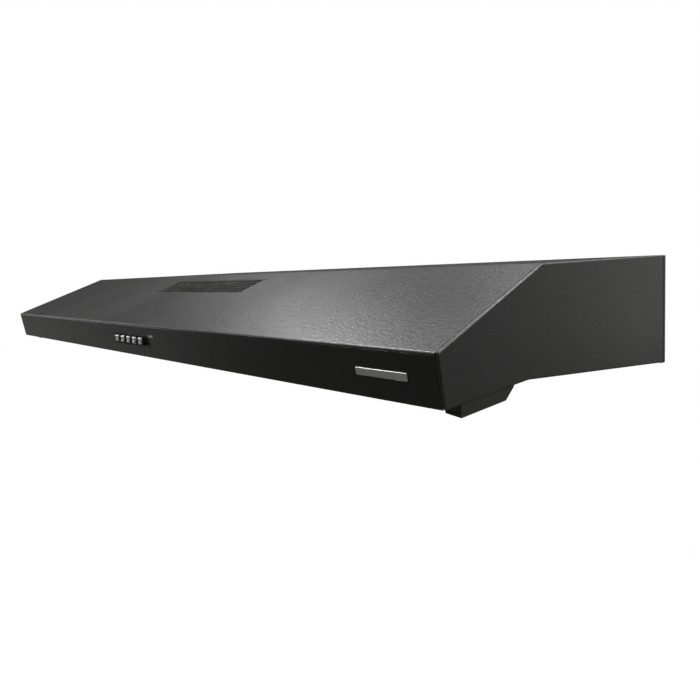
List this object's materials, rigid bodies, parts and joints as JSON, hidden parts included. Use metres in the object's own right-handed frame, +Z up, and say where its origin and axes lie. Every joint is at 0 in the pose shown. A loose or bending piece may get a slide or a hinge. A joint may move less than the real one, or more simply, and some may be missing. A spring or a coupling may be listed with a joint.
{
  "type": "under cabinet range hood",
  "caption": "Slim under-cabinet range hood with a sloped black canopy, push-key controls, grease filters and a round duct outlet.",
  "frame": {"origin": "centre of the flat top face, where the hood meets the underside of the cabinet", "axes": "+X to the viewer's right along the 900 mm width, +Y towards the wall, +Z up; the controls face -Y"},
  "size_m": [0.9, 0.48, 0.133],
  "materials": {
    "painted_steel": "black textured powder coat on sheet steel, satin with a fine sparkle",
    "fascia_black": "smooth black enamel, semi-gloss",
    "zinc_steel": "galvanised sheet, dull",
    "dark_plastic": "black moulded plastic, lightly grained",
    "chrome_key": "bright chrome plating on moulded keys",
    "badge_metal": "plain satin badge with no lettering",
    "white_plastic": "off-white moulded plastic",
    "frosted_lens": "frosted lamp cover plastic",
    "lamp_glass": "opal glass bulb with a nickel cap",
    "aluminium_frame": "roll-formed aluminium, satin",
    "aluminium_mesh": "layers of expanded aluminium mesh",
    "grey_plastic": "grey flame-retardant moulding",
    "impeller_plastic": "natural moulded fan wheel",
    "cable_black": "black sleeved wiring loom"
  },
  "bodies": {
    "root": {"top_shell": "painted_steel", "side_panel_left": "painted_steel", "side_panel_right": "painted_steel", "light_channel": "painted_steel", "vent_grille": "painted_steel", "channel_foot_left": "painted_steel", "channel_foot_right": "painted_steel", "fascia": "fascia_black", "rear_panel": "zinc_steel", "filter_rail": "zinc_steel", "shutter_rail_lower": "zinc_steel", "shutter_rail_upper": "zinc_steel", "motor_left": "zinc_steel", "motor_right": "zinc_steel", "control_bezel": "dark_plastic", "outlet_ring": "dark_plastic", "cable_gland": "dark_plastic", "badge_plate": "badge_metal", "switch_block": "white_plastic", "terminal_box": "white_plastic", "terminal_lid": "white_plastic", "lamp_holder_left": "white_plastic", "lamp_holder_right": "white_plastic", "capacitor_left": "white_plastic", "capacitor_right": "white_plastic", "indicator_lens": "frosted_lens", "lamp_left": "lamp_glass", "lamp_right": "lamp_glass", "outlet_plenum": "grey_plastic", "recirc_duct": "grey_plastic", "blower_housing_left": "grey_plastic", "blower_housing_right": "grey_plastic", "blower_cover_left": "grey_plastic", "blower_cover_right": "grey_plastic", "wire_loom": "cable_black"},
    "key_off": {"button_off": "chrome_key"},
    "key_speed_low": {"button_speed_low": "chrome_key"},
    "key_speed_mid": {"button_speed_mid": "chrome_key"},
    "key_speed_high": {"button_speed_high": "chrome_key"},
    "key_light": {"button_light": "chrome_key"},
    "filter_left": {"filter_frame_left": "aluminium_frame", "filter_mesh_left": "aluminium_mesh"},
    "latch_left": {"filter_latch_left": "dark_plastic"},
    "filter_centre": {"filter_frame_centre": "aluminium_frame", "filter_mesh_centre": "aluminium_mesh"},
    "latch_centre": {"filter_latch_centre": "dark_plastic"},
    "filter_right": {"filter_frame_right": "aluminium_frame", "filter_mesh_right": "aluminium_mesh"},
    "latch_right": {"filter_latch_right": "dark_plastic"},
    "lens_left": {"lamp_lens_left": "frosted_lens"},
    "rotor_left": {"impeller_left": "impeller_plastic"},
    "lens_right": {"lamp_lens_right": "frosted_lens"},
    "rotor_right": {"impeller_right": "impeller_plastic"},
    "flap_front": {"damper_flap_front": "grey_plastic"},
    "flap_rear": {"damper_flap_rear": "grey_plastic"},
    "shutter": {"vent_shutter": "dark_plastic"}
  },
  "joints": [
    {"name": "off_press", "type": "slide", "parent": "root", "child": "key_off", "axis": [0, 0.9867, 0.1624], "range_m": [0, 0.003], "stiffness_N_per_m": 300, "springref_m": -0.002},
    {"name": "speed_low_press", "type": "slide", "parent": "root", "child": "key_speed_low", "axis": [0, 0.9867, 0.1624], "range_m": [0, 0.003], "stiffness_N_per_m": 300, "springref_m": -0.002},
    {"name": "speed_mid_press", "type": "slide", "parent": "root", "child": "key_speed_mid", "axis": [0, 0.9867, 0.1624], "range_m": [0, 0.003], "stiffness_N_per_m": 300, "springref_m": -0.002},
    {"name": "speed_high_press", "type": "slide", "parent": "root", "child": "key_speed_high", "axis": [0, 0.9867, 0.1624], "range_m": [0, 0.003], "stiffness_N_per_m": 300, "springref_m": -0.002},
    {"name": "light_press", "type": "slide", "parent": "root", "child": "key_light", "axis": [0, 0.9867, 0.1624], "range_m": [0, 0.003], "stiffness_N_per_m": 300, "springref_m": -0.002},
    {"name": "filter_left_swing", "type": "hinge", "parent": "root", "child": "filter_left", "pos_m": [-0.298, 0.142, -0.12937], "axis": [1, 0, 0], "range_deg": [0, 65]},
    {"name": "latch_left_pull", "type": "slide", "parent": "filter_left", "child": "latch_left", "axis": [0, 0.9936, -0.1132], "range_m": [0, 0.004], "stiffness_N_per_m": 200, "springref_m": -0.003},
    {"name": "filter_centre_swing", "type": "hinge", "parent": "root", "child": "filter_centre", "pos_m": [0, 0.142, -0.12937], "axis": [1, 0, 0], "range_deg": [0, 65]},
    {"name": "latch_centre_pull", "type": "slide", "parent": "filter_centre", "child": "latch_centre", "axis": [0, 0.9936, -0.1132], "range_m": [0, 0.004], "stiffness_N_per_m": 200, "springref_m": -0.003},
    {"name": "filter_right_swing", "type": "hinge", "parent": "root", "child": "filter_right", "pos_m": [0.298, 0.142, -0.12937], "axis": [1, 0, 0], "range_deg": [0, 65]},
    {"name": "latch_right_pull", "type": "slide", "parent": "filter_right", "child": "latch_right", "axis": [0, 0.9936, -0.1132], "range_m": [0, 0.004], "stiffness_N_per_m": 200, "springref_m": -0.003},
    {"name": "lens_left_open", "type": "hinge", "parent": "root", "child": "lens_left", "pos_m": [-0.29, -0.2835, -0.0984], "axis": [-1, 0, 0], "range_deg": [0, 85]},
    {"name": "impeller_left_spin", "type": "hinge", "parent": "root", "child": "rotor_left", "pos_m": [-0.19, 0.04, -0.05], "axis": [0, 0, 1], "continuous": true},
    {"name": "lens_right_open", "type": "hinge", "parent": "root", "child": "lens_right", "pos_m": [0.29, -0.2835, -0.0984], "axis": [-1, 0, 0], "range_deg": [0, 85]},
    {"name": "impeller_right_spin", "type": "hinge", "parent": "root", "child": "rotor_right", "pos_m": [0.19, 0.04, -0.05], "axis": [0, 0, 1], "continuous": true},
    {"name": "flap_front_lift", "type": "hinge", "parent": "root", "child": "flap_front", "pos_m": [0, 0.0748, -0.024], "axis": [-1, 0, 0], "range_deg": [0, 80]},
    {"name": "flap_rear_lift", "type": "hinge", "parent": "root", "child": "flap_rear", "pos_m": [0, 0.0792, -0.024], "axis": [1, 0, 0], "range_deg": [0, 80]},
    {"name": "shutter_slide", "type": "slide", "parent": "root", "child": "shutter", "axis": [1, 0, 0], "range_m": [0, 0.0045]}
  ]
}
